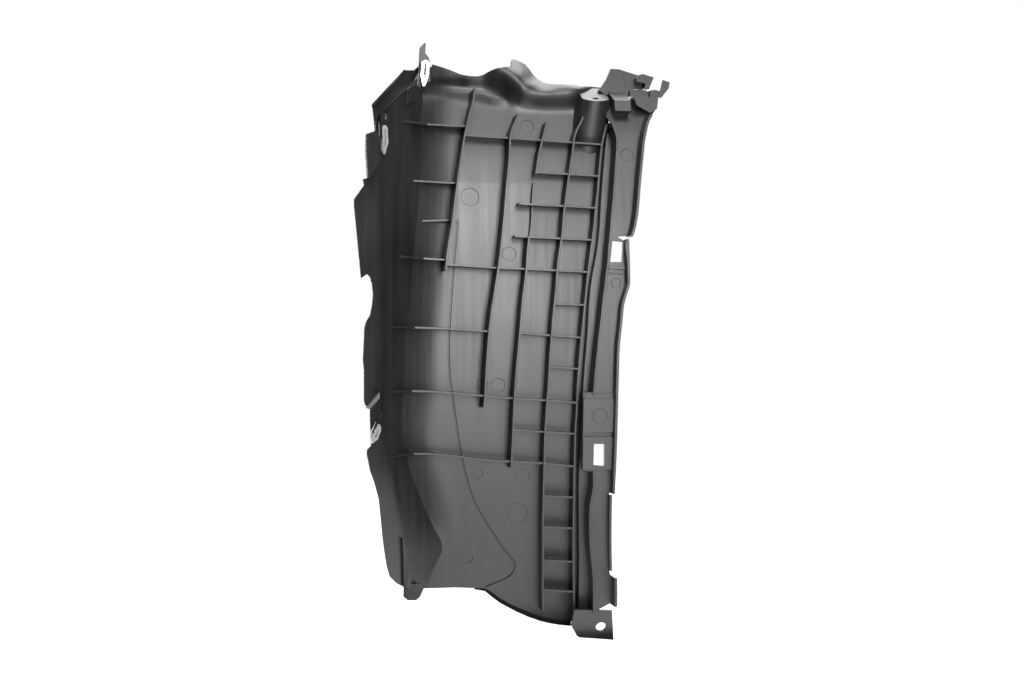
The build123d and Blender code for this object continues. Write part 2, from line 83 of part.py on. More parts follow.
# stations of the side wall and its rim, rows from top to bottom
SIDE = [
    [(-191.98, -44.03, 466.57), (-179.6, -35.21, 468.89), (-168.85, -27.66, 470.88), (-166.93, -25.84, 471.33), (-164.89, -22.99, 472.0), (-159.32, -14.09, 474.07), (-153.07, -4.24, 476.37), (-147.52, 4.4, 478.38), (-146.32, 6.26, 478.82)],
    [(-196.63, -49.29, 450.02), (-184.67, -40.81, 452.1), (-174.33, -33.6, 453.87), (-172.45, -31.97, 454.26), (-170.49, -29.65, 454.78), (-162.89, -19.56, 457.02), (-155.06, -9.33, 459.29), (-148.09, -0.34, 461.29), (-146.94, 1.13, 461.62)],
    [(-200.6, -54.39, 433.68), (-189.21, -46.36, 435.52), (-179.44, -39.57, 437.07), (-177.59, -38.05, 437.41), (-175.68, -36.0, 437.84), (-166.27, -24.87, 440.17), (-156.99, -14.09, 442.43), (-148.72, -4.63, 444.42), (-147.6, -3.36, 444.68)],
    [(-203.85, -59.25, 417.57), (-193.01, -51.64, 419.18), (-183.79, -45.26, 420.53), (-181.96, -43.79, 420.83), (-180.08, -41.88, 421.21), (-169.24, -29.84, 423.55), (-158.79, -18.47, 425.77), (-149.48, -8.49, 427.73), (-148.37, -7.32, 427.96)],
    [(-205.98, -61.92, 401.98), (-195.64, -54.71, 403.38), (-186.94, -48.71, 404.54), (-185.12, -47.3, 404.81), (-183.27, -45.53, 405.13), (-171.4, -33.3, 407.34), (-160.15, -21.92, 409.4), (-150.1, -11.95, 411.22), (-149.01, -10.88, 411.41)],
    [(-208.36, -66.06, 382.5), (-197.39, -58.45, 383.81), (-188.01, -52.04, 384.92), (-186.21, -50.66, 385.15), (-184.36, -48.93, 385.44), (-172.33, -36.81, 387.38), (-160.95, -25.58, 389.2), (-150.79, -15.74, 390.79), (-149.71, -14.7, 390.96)],
    [(-213.69, -73.07, 355.33), (-200.37, -63.87, 356.63), (-188.55, -55.86, 357.77), (-186.76, -54.5, 357.96), (-184.92, -52.79, 358.19), (-173.01, -40.85, 359.77), (-161.73, -29.78, 361.24), (-151.67, -20.09, 362.53), (-150.59, -19.06, 362.67)],
    [(-215.27, -76.74, 328.9), (-201.32, -67.17, 329.96), (-188.84, -58.77, 330.9), (-187.04, -57.38, 331.05), (-185.21, -55.58, 331.23), (-174.25, -43.91, 332.43), (-163.76, -32.97, 333.56), (-154.41, -23.39, 334.55), (-153.33, -22.3, 334.66)],
    [(-213.31, -77.2, 302.9), (-200.41, -68.41, 303.61), (-189.02, -60.79, 304.22), (-187.23, -59.37, 304.33), (-185.38, -57.46, 304.47), (-175.5, -46.2, 305.3), (-165.88, -35.47, 306.09), (-157.31, -26.07, 306.79), (-156.23, -24.9, 306.88)],
    [(-209.2, -75.43, 277.01), (-198.37, -68.11, 277.37), (-189.13, -61.96, 277.68), (-187.33, -60.54, 277.75), (-185.49, -58.59, 277.84), (-176.39, -47.96, 278.32), (-167.43, -37.7, 278.79), (-159.45, -28.71, 279.19), (-158.37, -27.51, 279.25)],
    [(-208.0, -74.91, 250.97), (-197.77, -68.02, 251.1), (-189.16, -62.3, 251.21), (-187.36, -60.8, 251.24), (-185.49, -58.64, 251.27), (-177.64, -48.41, 251.45), (-169.68, -38.24, 251.62), (-162.6, -29.34, 251.77), (-161.5, -27.97, 251.8)],
    [(-207.97, -74.43, 224.9), (-197.73, -67.53, 224.81), (-189.11, -61.8, 224.75), (-187.3, -60.24, 224.73), (-185.42, -57.88, 224.7), (-178.4, -47.91, 224.6), (-171.1, -37.72, 224.49), (-164.61, -28.81, 224.4), (-163.5, -27.3, 224.38)],
    [(-207.87, -73.15, 198.77), (-197.63, -66.23, 198.48), (-188.99, -60.47, 198.23), (-187.18, -58.88, 198.17), (-185.29, -56.42, 198.07), (-178.56, -46.52, 197.7), (-171.48, -36.29, 197.31), (-165.19, -27.35, 196.97), (-164.08, -25.77, 196.91)],
    [(-207.53, -72.08, 180.06), (-197.01, -64.95, 179.6), (-188.11, -59.0, 179.22), (-186.28, -57.31, 179.11), (-184.36, -54.57, 178.96), (-178.48, -44.99, 178.41), (-172.07, -34.72, 177.83), (-166.38, -25.72, 177.32), (-165.24, -23.95, 177.22)],
    [(-206.49, -71.37, 165.07), (-195.38, -63.82, 164.45), (-185.86, -57.45, 163.92), (-184.02, -55.63, 163.78), (-182.05, -52.55, 163.56), (-177.01, -43.4, 162.91), (-171.24, -33.09, 162.17), (-166.12, -24.07, 161.53), (-164.95, -22.04, 161.38)],
    [(-205.27, -70.25, 152.26), (-193.33, -62.12, 151.47), (-182.96, -55.17, 150.79), (-181.1, -53.31, 150.62), (-179.11, -50.12, 150.35), (-174.4, -41.36, 149.62), (-168.88, -31.25, 148.77), (-163.98, -22.41, 148.02), (-162.81, -20.29, 147.84)],
    [(-203.27, -68.56, 140.11), (-190.59, -59.92, 139.14), (-179.46, -52.47, 138.31), (-177.6, -50.62, 138.12), (-175.59, -47.47, 137.81), (-170.9, -38.93, 136.99), (-165.4, -29.04, 136.04), (-160.51, -20.39, 135.2), (-159.33, -18.31, 135.0)],
    [(-200.58, -65.39, 126.99), (-187.87, -56.72, 125.9), (-176.73, -49.25, 124.96), (-174.87, -47.56, 124.75), (-172.9, -44.9, 124.45), (-167.08, -35.91, 123.45), (-160.69, -26.19, 122.37), (-155.02, -17.68, 121.42), (-153.86, -15.96, 121.23)],
    [(-197.72, -61.36, 113.7), (-185.24, -52.84, 112.5), (-174.34, -45.52, 111.46), (-172.48, -43.97, 111.25), (-170.55, -41.74, 110.96), (-163.34, -32.41, 109.78), (-155.87, -22.88, 108.57), (-149.22, -14.54, 107.51), (-148.09, -13.13, 107.33)],
    [(-195.26, -57.42, 99.56), (-182.76, -48.86, 98.21), (-171.85, -41.51, 97.06), (-170.0, -40.06, 96.84), (-168.09, -38.15, 96.56), (-159.16, -28.38, 95.15), (-150.3, -18.84, 93.77), (-142.42, -10.49, 92.56), (-141.3, -9.32, 92.39)],
    [(-193.38, -54.23, 87.71), (-180.82, -45.61, 86.24), (-169.87, -38.21, 84.98), (-168.01, -36.8, 84.75), (-166.11, -35.04, 84.46), (-155.67, -24.63, 82.81), (-145.58, -14.74, 81.24), (-136.59, -6.07, 79.86), (-135.48, -5.0, 79.69)],
    [(-191.74, -51.32, 77.35), (-179.21, -42.69, 75.79), (-168.3, -35.29, 74.45), (-166.44, -33.89, 74.2), (-164.53, -32.19, 73.9), (-153.31, -21.5, 72.08), (-142.57, -11.43, 70.36), (-133.0, -2.61, 68.85), (-131.89, -1.6, 68.67)],
    [(-190.25, -48.56, 67.74), (-177.83, -39.97, 66.09), (-167.03, -32.62, 64.68), (-165.16, -31.23, 64.42), (-163.25, -29.55, 64.11), (-153.99, -20.9, 62.54), (-144.89, -12.5, 61.02), (-136.81, -5.15, 59.68), (-135.7, -4.15, 59.5)],
    [(-188.67, -45.28, 56.45), (-176.43, -36.78, 54.72), (-165.82, -29.52, 53.23), (-163.94, -28.14, 52.96), (-162.04, -26.54, 52.64), (-155.6, -20.82, 51.53), (-148.83, -14.85, 50.37), (-142.84, -9.63, 49.35), (-141.76, -8.69, 49.17)],
    [(-187.08, -41.41, 43.45), (-175.03, -33.0, 41.62), (-164.64, -25.84, 40.06), (-162.76, -24.48, 39.77), (-160.86, -22.96, 39.45), (-157.17, -19.91, 38.8), (-152.66, -16.18, 38.02), (-148.68, -12.92, 37.33), (-147.61, -12.05, 37.15)],
    [(-185.31, -36.65, 28.64), (-173.58, -28.38, 26.72), (-163.53, -21.39, 25.08), (-161.65, -20.12, 24.79), (-159.77, -18.92, 24.5), (-158.95, -18.41, 24.38), (-156.79, -17.06, 24.06), (-154.89, -15.89, 23.78), (-153.86, -15.25, 23.62)],
]
# outline of the panel: top edge left to right, lower edge right to left
PANEL_TOP = [
    (-160.35, 456.77), (-141.33, 457.54), (-133.72, 456.28), (-125.28, 454.18), (-116.09, 451.13), (-108.52, 450.4),
    (-102.65, 450.5), (-97.8, 451.62), (-94.07, 453.76), (-90.35, 455.48), (-86.47, 456.58), (-80.8, 457.48),
    (-75.44, 458.25), (-74.14, 464.36), (-71.67, 466.09), (-66.3, 464.61), (-61.74, 462.69), (-58.81, 458.69),
    (-55.93, 453.84), (-52.21, 449.45), (-48.42, 446.79), (-42.98, 445.4), (-35.1, 444.86), (-22.86, 444.61),
    (-18.64, 443.54), (-7.0, 445.44), (1.63, 446.21), (15.36, 446.68),
]
PANEL_BOTTOM = [
    (4.67, 1.33), (-8.18, 0.48), (-21.09, 0.97), (-29.73, 2.2), (-47.05, 6.41), (-68.76, 16.01),
    (-81.75, 23.46), (-88.7, 28.9), (-94.7, 32.55), (-107.17, 33.4), (-119.59, 34.24), (-131.1, 34.19),
    (-144.21, 34.37), (-164.6, 35.05),
]
# flared lip under the lower arc: upper line and lower line
LIP_UP = [
    (-100.56, 11.72, 35.17), (-94.72, 11.92, 34.46), (-88.73, 12.97, 30.81), (-81.78, 14.57, 25.38), (-68.79, 16.82, 17.95), (-57.52, 18.49, 12.63),
    (-47.09, 19.85, 8.36), (-38.43, 20.64, 5.91), (-29.78, 21.22, 4.16), (-20.3, 21.57, 3.09),
]
LIP_DOWN = [
    (-102.68, 19.3, 30.91), (-93.41, 19.87, 28.95), (-87.28, 21.45, 23.68), (-80.26, 23.14, 18.18), (-67.16, 25.52, 10.65), (-55.78, 27.34, 5.08),
    (-45.27, 28.72, 0.93), (-36.53, 29.56, -1.56), (-27.81, 30.17, -3.34), (-18.23, 30.6, -4.61),
]
# outline of the side wall: top end, rim, foot
SIDE_OUT = [
    (-151.36, 444.61), (-153.24, 443.33), (-186.18, 409.29), (-189.45, 407.3), (-190.38, 395.54), (-197.66, 392.29),
    (-197.81, 379.91), (-196.45, 358.54), (-200.44, 357.39), (-199.69, 352.88), (-207.67, 341.54), (-207.71, 337.01),
    (-202.48, 282.48), (-200.9, 283.29), (-197.72, 285.67), (-195.35, 283.5), (-193.77, 278.28), (-192.99, 270.01),
    (-193.79, 262.45), (-195.39, 254.89), (-198.56, 249.59), (-199.75, 245.83), (-200.13, 236.08), (-200.89, 221.09),
    (-200.07, 213.58), (-199.96, 191.02), (-199.15, 187.22), (-195.17, 184.05), (-195.16, 175.75), (-194.34, 156.08),
    (-197.53, 153.26), (-197.51, 149.48), (-195.09, 137.97), (-190.97, 126.17), (-187.56, 114.27), (-185.69, 98.53),
    (-183.79, 82.66), (-181.94, 70.6), (-180.1, 60.82), (-177.44, 52.45), (-172.31, 46.88), (-165.48, 42.63),
    (-147.97, 38.84), (-142.45, 35.59),
]
SIDE_IN_X = -111.94
PANEL_IN_X = -172.0
# ledge outside the wall's top end
LEDGE = [
    (-192.01, 417.34), (-164.21, 449.91), (-154.97, 452.34), (-150.66, 456.8), (-146.52, 457.72), (-146.91, 445.0),
    (-152.37, 443.89), (-185.1, 410.13), (-186.47, 396.63), (-189.74, 396.22), (-190.46, 405.13),
]
LEDGE_EDGE = [
    (-185.36, 410.02), (-177.68, 418.14), (-168.83, 427.46), (-159.75, 436.9), (-153.23, 443.66),
]
LEDGE_RIM = [
    (-191.24, 416.02), (-184.94, 423.23), (-177.27, 431.71), (-171.05, 439.5), (-167.43, 444.37), (-163.77, 449.0),
]
# ribs: height over the panel and the line of the near edge (x, z)
RIBS = {
    'V1': (20, [(-107.83, 436.92), (-109.39, 426.94), (-111.67, 418.64), (-113.93, 410.39), (-116.17, 402.18), (-117.99, 394.03), (-119.39, 385.92), (-120.77, 377.84), (-123.49, 361.78), (-125.76, 345.84), (-127.97, 330.0), (-130.91, 314.22), (-133.02, 298.53), (-133.86, 290.7)]),
    'V2': (18, [(-73.39, 416.85), (-76.11, 409.35), (-78.75, 403.53), (-80.16, 397.77), (-80.9, 387.16), (-82.58, 370.93), (-84.09, 358.82), (-86.12, 338.79), (-88.9, 314.91), (-91.52, 295.13), (-94.03, 279.35), (-97.28, 259.69), (-99.27, 243.98), (-100.78, 224.36), (-101.82, 204.71), (-102.43, 188.96), (-103.14, 182.65)]),
    'V3A': (14, [(-49.07, 411.6), (-50.98, 404.92), (-53.82, 394.95), (-56.65, 384.22), (-58.62, 373.58), (-59.58, 368.68)]),
    'V3L': (5, [(-59.55, 362.39), (-61.23, 344.46), (-63.76, 319.38), (-64.016, 318.208)]),
    'V3': (15.5, [(-66.424, 317.915), (-68.09, 303.43), (-69.03, 291.52), (-71.15, 275.66), (-73.22, 255.89), (-74.41, 240.09), (-76.31, 220.34), (-77.72, 200.57), (-78.36, 188.68), (-78.82, 168.8), (-79.29, 152.83), (-79.63, 134.37)]),
    'V4': (14, [(-19.09, 416.64), (-21.86, 410.72), (-24.57, 405.65), (-26.93, 398.96), (-28.57, 389.02), (-30.11, 380.77), (-31.63, 372.55), (-33.62, 361.92), (-35.13, 352.15), (-36.59, 343.23), (-37.96, 333.53), (-38.81, 323.87), (-40.02, 315.84), (-41.37, 307.82), (-43.15, 296.61), (-44.52, 279.87), (-45.8, 267.93), (-47.46, 252.03), (-48.63, 236.15), (-49.74, 220.26), (-50.38, 204.35), (-51.36, 188.41), (-52.28, 172.43), (-52.72, 156.39), (-52.69, 140.26), (-52.59, 124.05), (-52.41, 107.72), (-51.8, 82.98), (-50.15, 49.43), (-48.67, 23.75), (-47.65, 14.19)]),
    'V5': (13, [(0.91, 411.53), (-0.09, 408.16), (-2.04, 402.27), (-4.09, 393.91), (-5.86, 381.47), (-7.57, 369.11), (-8.81, 356.83), (-10.88, 342.96), (-12.48, 328.37), (-14.38, 316.24), (-16.23, 304.16), (-18.03, 292.11), (-19.82, 276.09), (-21.52, 260.1), (-23.15, 244.13), (-24.71, 228.17), (-25.78, 212.2), (-26.79, 196.2), (-26.89, 180.16), (-27.75, 164.08), (-27.7, 147.91), (-27.58, 131.66), (-27.04, 107.08), (-26.31, 82.21), (-24.96, 56.98), (-22.96, 31.3), (-21.03, 9.51)]),
    'C0': (14, [(-168.66, 407.166), (-151.88, 406.99), (-135.95, 406.63), (-115.041, 406.319)]),
    'C0B': (12, [(-160.559, 361.232), (-140.65, 360.74), (-123.71, 360.235)]),
    'C0C': (6, [(-152.23, 330.01), (-140.31, 330.52), (-127.816, 331.105)]),
    'C1': (12.5, [(-116.815, 399.293), (-95.75, 398.32), (-79.54, 397.77), (-55.08, 396.78), (-26.31, 395.47), (-3.956, 394.458)]),
    'C2': (12, [(-59.213, 370.554), (-32.92, 369.5), (-7.638, 368.433)]),
    'C3': (12, [(-73.59, 344.78), (-56.55, 344.04), (-36.13, 343.43), (-10.951, 342.31)]),
    'C4': (12, [(-77.3, 318.68), (-65.18, 318.05), (-39.14, 317.19), (-14.358, 316.378)]),
    'C5': (14.5, [(-173.238, 300.729), (-153.52, 299.95), (-132.967, 298.925)]),
    'C5R': (12.2, [(-133.363, 295.331), (-109.72, 294.15), (-89.72, 293.08), (-67.16, 292.49), (-43.62, 291.51), (-18.201, 290.578)]),
    'C6B': (12, [(-46.125, 264.821), (-21.092, 264.126)]),
    'C6': (14.5, [(-180.389, 246.447), (-161.51, 245.94), (-145.82, 245.5), (-130.05, 244.75), (-99.357, 242.848)]),
    'C6R': (12, [(-74.281, 241.799), (-48.63, 239.73), (-23.737, 238.125)]),
    'C6C': (12, [(-49.963, 214.71), (-25.727, 212.992)]),
    'C7': (14.5, [(-182.53, 196.467), (-161.28, 196.15), (-145.57, 195.82), (-128.17, 194.53), (-102.511, 192.029)]),
    'C7R': (12.2, [(-102.114, 191.952), (-77.35, 189.73), (-50.57, 187.94), (-26.854, 185.885)]),
    'C8': (12, [(-78.94, 164.729), (-52.45, 162.69), (-27.74, 160.834)]),
    'C9': (14, [(-180.44, 146.52), (-160.66, 146.68), (-144.87, 146.45), (-120.97, 143.71), (-79.735, 139.489)]),
    'C9R': (12.2, [(-79.339, 139.304), (-52.63, 137.28), (-27.6, 134.41)]),
    'C10': (12, [(-52.444, 110.813), (-27.083, 109.034)]),
    'C11': (12, [(-51.856, 85.26), (-26.344, 83.357)]),
    'C12': (12, [(-50.532, 57.199), (-24.817, 55.149)]),
    'C13': (12, [(-49.15, 32.079), (-22.791, 29.389)]),
}
# left ends of the cross ribs, climbing the side wall: two points (x, y)
RIB_RISE = {
    'C0': [(-167.27, -29.0), (-145.49, -18.39)],
    'C0B': [(-158.31, -26.18), (-137.45, -23.89)],
    'C5': [(-171.73, -41.82), (-150.37, -32.23)],
    'C6': [(-179.5, -50.19), (-157.59, -33.56)],
    'C7': [(-181.88, -50.98), (-159.71, -31.56)],
    'C9': [(-180.54, -52.97), (-157.5, -25.96)],
}
# fine groove across the panel
GROOVE = [
    (-121.87, 330.99), (-121.44, 326.98), (-122.87, 315.74), (-124.66, 295.76), (-126.38, 275.85), (-128.02, 252.02),
    (-128.8, 236.15), (-128.73, 220.27), (-127.81, 204.36), (-126.11, 194.79), (-123.48, 176.39), (-120.81, 160.31),
    (-118.08, 144.14), (-114.54, 130.3), (-110.1, 115.53), (-105.72, 104.76), (-101.4, 97.24), (-95.32, 87.14),
    (-88.36, 76.95), (-81.33, 66.67), (-75.22, 59.73), (-71.69, 55.38), (-70.81, 51.09), (-72.06, 46.0),
    (-76.02, 41.84), (-82.52, 38.61), (-89.06, 36.24), (-94.76, 33.85),
]
# ejector pin marks on the panel: x, z, radius
PIN_MARKS = [
    (-62.76, 409.24, 5.6), (-111.06, 350.53, 7.2), (-80.12, 305.03, 5.6), (-89.04, 200.16, 5.6), (-67.04, 126.21, 5.6), (-70.93, 95.73, 8.4),
    (-110.71, 59.06, 4.8), (-103.96, 129.3, 4.0), (-102.0, 200.23, 4.8),
]
# narrow strip between the panel and the flange: its left edge
STRIP_LEFT = [
    (2.72, 404.82), (1.6, 398.93), (0.38, 390.57), (-4.47, 349.26), (-8.74, 308.58), (-13.6, 284.35),
    (-17.03, 244.18), (-19.97, 204.04), (-21.2, 163.69), (-21.84, 131.11), (-18.75, 64.48), (-16.44, 21.44),
    (-15.84, 7.38),
]
# step from the strip to the flange: upper and lower run
STEP_UP = [
    (2.21, 411.9), (4.35, 404.93), (5.69, 398.37), (5.25, 388.49), (3.91, 376.2), (2.63, 363.98),
    (0.87, 347.77), (-0.7, 335.67), (-2.3, 319.62), (-3.76, 307.62), (-4.75, 295.66), (-6.07, 287.7),
    (-6.96, 279.75), (-8.67, 267.84), (-10.33, 251.99), (-11.93, 240.1), (-13.46, 224.26), (-14.91, 208.41),
    (-15.86, 191.74),
]
STRIP_RIGHT = [
    (5.22, 402.48), (5.69, 398.37), (5.25, 388.49), (3.91, 376.2), (2.63, 363.98), (0.87, 347.77),
    (-0.7, 335.67), (-2.3, 319.62), (-3.76, 307.62), (-4.75, 295.66), (-6.07, 287.7), (-6.96, 279.75),
    (-8.67, 267.84), (-10.33, 251.99), (-11.93, 240.1), (-13.46, 224.26), (-14.91, 208.41), (-15.86, 191.74),
    (-15.17, 135.68), (-13.92, 124.33), (-14.01, 116.21), (-15.0, 110.53), (-15.95, 104.01), (-15.98, 95.82),
    (-15.37, 83.45), (-14.29, 70.98), (-12.33, 58.39), (-10.29, 45.69), (-9.03, 32.9), (-7.61, 13.06),
]
STEP_LOW = [
    (-15.17, 135.68), (-13.92, 124.33), (-14.01, 116.21), (-15.0, 110.53), (-15.95, 104.01), (-15.98, 95.82),
    (-15.37, 83.45), (-14.29, 70.98), (-12.33, 58.39), (-10.29, 45.69), (-9.03, 32.9), (-7.61, 13.06),
]
# outer edge of the flange: upper run, then down to the tab
FLANGE_TOP_EDGE = [
    (37.11, 423.16), (32.58, 416.81), (28.91, 410.51), (26.9, 403.88), (24.83, 395.63), (23.02, 383.37),
    (21.28, 371.18), (18.96, 352.61), (16.79, 334.98), (14.48, 324.59), (12.3, 318.21),
]
FLANGE_MID_EDGE = [
    (10.09, 316.08), (10.31, 300.99), (10.45, 287.52), (10.39, 281.18), (6.22, 267.72), (4.15, 251.92),
    (2.18, 234.56), (1.43, 210.88), (1.16, 188.71), (1.16, 156.88), (1.1, 126.37), (1.16, 113.42),
]
FLANGE_LOW_EDGE = [
    (-0.46, 112.31), (0.19, 91.85), (1.57, 66.98), (3.01, 49.34),
]
FLANGE_END_EDGE = [
    (5.61, 44.59), (6.56, 34.43), (7.38, 19.94),
]
# outer edge of the flange plate, inside its lips, downwards
FLANGE_OUT = [
    (9.41, 315.2), (9.53, 308.52), (9.72, 294.24), (9.77, 284.35), (7.65, 274.44), (4.53, 259.82),
    (2.5, 243.24), (1.13, 222.72), (0.63, 199.81), (0.47, 172.83), (0.44, 141.67), (0.47, 119.91),
    (0.47, 114.32), (-1.08, 111.42), (-0.82, 102.12), (0.19, 79.48), (1.61, 58.21), (2.28, 50.29),
    (5.0, 43.68), (5.41, 39.54), (6.29, 27.23), (6.64, 20.9),
]
# stations of the upper flange, curling back at its top
FLANGE_TOP = [
    [(1.81, 0.11, 437.14), (12.87, 0.19, 437.5), (21.4, 0.26, 437.78), (29.96, 0.33, 438.06), (38.54, 0.39, 438.34), (50.6, 0.49, 438.74)],
    [(0.34, -5.69, 432.01), (11.35, -5.61, 432.36), (19.84, -5.55, 432.64), (28.35, -5.49, 432.91), (36.89, -5.43, 433.18), (48.88, -5.34, 433.57)],
    [(-1.24, -11.96, 426.85), (9.7, -11.89, 427.19), (18.14, -11.83, 427.45), (26.61, -11.77, 427.72), (35.1, -11.71, 427.98), (47.02, -11.63, 428.36)],
    [(-2.54, -17.11, 421.91), (8.35, -17.04, 422.25), (16.75, -16.99, 422.5), (25.18, -16.93, 422.76), (33.63, -16.88, 423.02), (45.5, -16.8, 423.38)],
    [(-3.73, -21.85, 416.28), (7.11, -21.79, 416.6), (15.47, -21.74, 416.85), (23.86, -21.68, 417.1), (32.28, -21.63, 417.35), (44.09, -21.56, 417.7)],
    [(-4.61, -25.32, 410.08), (6.2, -25.26, 410.39), (14.54, -25.22, 410.63), (22.9, -25.17, 410.87), (31.28, -25.12, 411.11), (43.06, -25.06, 411.45)],
    [(-5.14, -27.42, 403.32), (5.65, -27.36, 403.62), (13.97, -27.32, 403.85), (22.32, -27.28, 404.08), (30.68, -27.23, 404.31), (42.44, -27.17, 404.63)],
    [(-5.8, -30.02, 388.49), (4.96, -29.98, 388.76), (13.26, -29.94, 388.97), (21.59, -29.91, 389.18), (29.93, -29.87, 389.39), (41.66, -29.82, 389.68)],
    [(-6.59, -33.15, 368.07), (4.14, -33.12, 368.3), (12.41, -33.09, 368.48), (20.71, -33.07, 368.66), (29.03, -33.04, 368.84), (40.72, -33.01, 369.1)],
    [(-7.35, -36.19, 343.79), (3.34, -36.17, 343.97), (11.59, -36.16, 344.12), (19.86, -36.14, 344.27), (28.15, -36.12, 344.41), (39.8, -36.1, 344.62)],
    [(-8.01, -38.8, 315.69), (2.65, -38.79, 315.83), (10.88, -38.78, 315.94), (19.13, -38.77, 316.04), (27.4, -38.77, 316.15), (39.02, -38.76, 316.3)],
]
# outline of the upper flange
FLANGE_TOP_OUT = [
    (-0.9, 416.36), (3.4, 433.05), (25.99, 433.78), (27.89, 429.29), (42.22, 424.81), (35.82, 417.45),
    (28.2, 409.58), (27.24, 407.17), (25.2, 399.73), (23.26, 389.47), (21.49, 377.25), (19.44, 361.86),
    (17.2, 343.77), (14.98, 329.77), (12.74, 321.39), (11.67, 319.07), (-2.23, 318.17), (-0.59, 335.85),
    (0.99, 347.97), (2.75, 364.21), (4.04, 376.46), (5.38, 388.77), (5.83, 398.66), (4.48, 405.24),
    (3.11, 411.0),
]
# inner edge of the flange plate, downwards
FLANGE_IN = [
    (-1.75, 321.38), (-4.24, 295.77), (-6.45, 279.83), (-9.83, 252.02), (-12.96, 224.24), (-15.42, 194.84),
    (-24.38, 194.11), (-23.58, 132.41), (-14.49, 130.64), (-13.5, 115.99), (-15.44, 103.77), (-14.86, 83.16),
    (-11.8, 58.05), (-8.49, 32.5), (-7.13, 13.49),
]
# through slots in the flange
SLOT_1 = [
    (-0.32, 314.99), (8.38, 314.3), (7.28, 298.28), (-2.32, 298.19),
]
SLOT_2 = [
    (-15.05, 153.43), (-6.04, 153.31), (-5.44, 135.57), (-14.99, 136.53),
]
# raised pads round the lower slot
PAD_UP = [
    (-24.73, 189.48), (0.14, 189.29), (0.39, 162.53), (-24.53, 162.82),
]
PAD_LOW = [
    (-24.2, 159.15), (0.6, 158.85), (0.03, 132.24), (-23.77, 132.64),
]
PAD_SHOULDER = [
    (-20.66, 193.74), (1.4, 193.59), (0.67, 189.21), (-24.25, 189.39),
]
RIDGE_1 = [
    (-3.94, 295.27), (9.98, 294.61), (9.95, 292.22), (-4.3, 292.72),
]
RIDGE_2 = [
    (-4.57, 289.91), (10.18, 289.24), (10.17, 288.2), (-4.74, 288.87),
]
# ejector pin marks on the flange: x, z, radius, level
FLANGE_MARKS = [
    (13.91, 384.88, 5.13, -22), (-11.0, 175.84, 5.93, -25.5), (2.16, 281.49, 3.95, -22),
]
# lower tab in its own plane, hole at the origin
TAB = [
    (-24.11, 17.0), (-24.97, 1.91), (-19.53, -7.85), (-16.86, -9.4), (11.98, -12.89), (8.04, 14.78),
]
TAB_TILT = 21.0
# screw tower: tilt of its axis towards the ribbed side, hole centre on its shelf
TOWER_TILT = 28.0
TOWER_HOLE = (-9.2, -18.76, 431.57)
TOWER_LEFT = -10.98
TOWER_RIGHT = 11.05
TOWER_FRONT = 6.36
TOWER_BACK = 26.41
# block beside the tower, profile (y, z)
BLOCK = [
    (-6.62, 439.1), (-27.34, 429.08), (-29.14, 420.56), (-16.3, 418.48), (-6.37, 426.67),
]
BLOCK_X = (4.37, 17.86)
# bracket and hooks over the flange: outline (x, z), near level, far level
BRACKET = {
    'UPRIGHT': ([(-4.03, 440.37), (-1.06, 443.46), (3.57, 450.05), (8.16, 459.36), (14.78, 459.35), (30.88, 454.56), (30.84, 445.4), (26.59, 443.02), (26.13, 435.81), (7.47, 435.2)], -9, -6),
    'HOOK_BOX': ([(26.95, 450.59), (28.46, 452.88), (32.29, 454.3), (41.7, 451.72), (36.92, 441.62), (26.43, 442.88)], -17, -6),
    'HOOK_POCKET': ([(26.06, 447.72), (34.54, 446.23), (32.9, 441.93), (25.41, 442.86)], -25, -9),
    'BEAM': ([(21.65, 440.72), (29.14, 441.4), (41.04, 439.24), (40.33, 434.95), (21.32, 435.6)], -14, -8),
    'HOOK_BAR': ([(37.37, 440.08), (41.65, 440.82), (45.82, 439.77), (44.63, 434.79), (37.0, 434.54)], -18, -12),
    'HOOK_TAB': ([(48.42, 449.05), (53.98, 447.27), (52.84, 442.1), (45.64, 433.61), (43.21, 435.23), (45.94, 440.42)], -20, -17.5),
    'FACET': ([(22.06, 434.36), (43.09, 434.03), (41.36, 424.18), (35.49, 420.47), (24.28, 426.85)], -21, -9),
}
# small features of the side wall: outline (x, z), near level, far level
WALL_BITS = {
    'TOP_BLADE': ([(-150.15, 470.63), (-146.04, 475.05), (-145.17, 474.58), (-145.86, 466.3), (-143.16, 462.68), (-142.34, 457.98), (-142.69, 447.06), (-149.44, 446.81), (-150.6, 445.52), (-152.22, 439.22), (-157.03, 435.74), (-155.21, 444.11), (-151.83, 450.07)], -13, -10.5),
    'BLADE_STEM': ([(-186.91, 408.38), (-181.56, 408.55), (-181.63, 404.46), (-186.98, 404.3)], -47.6, -30),
    'WALL_PAD': ([(-163.44, 419.97), (-162.5, 433.06), (-154.54, 440.73), (-154.94, 425.7)], -22, -12),
    'RIM_PLATE': ([(-197.94, 391.78), (-193.41, 391.9), (-189.6, 394.34), (-185.88, 389.78), (-186.11, 373.57), (-189.2, 367.35), (-195.33, 358.03), (-196.99, 358.0), (-198.1, 379.43)], -53, -44),
    'FOOT_STRIP': ([(-168.1, 82.72), (-165.03, 74.64), (-163.23, 64.94), (-163.01, 42.2), (-166.16, 42.71), (-167.14, 65.06)], -37.5, -30),
    'FOOT_TONGUE': ([(-165.06, 43.53), (-164.94, 33.63), (-161.53, 30.77), (-155.18, 30.55), (-152.09, 33.19), (-149.16, 40.54), (-150.06, 43.87)], -31, -28),
    'RIM_END': ([(-198.43, 184.97), (-187.99, 197.34), (-187.96, 192.44), (-195.42, 183.97)], -50.5, -43),
}
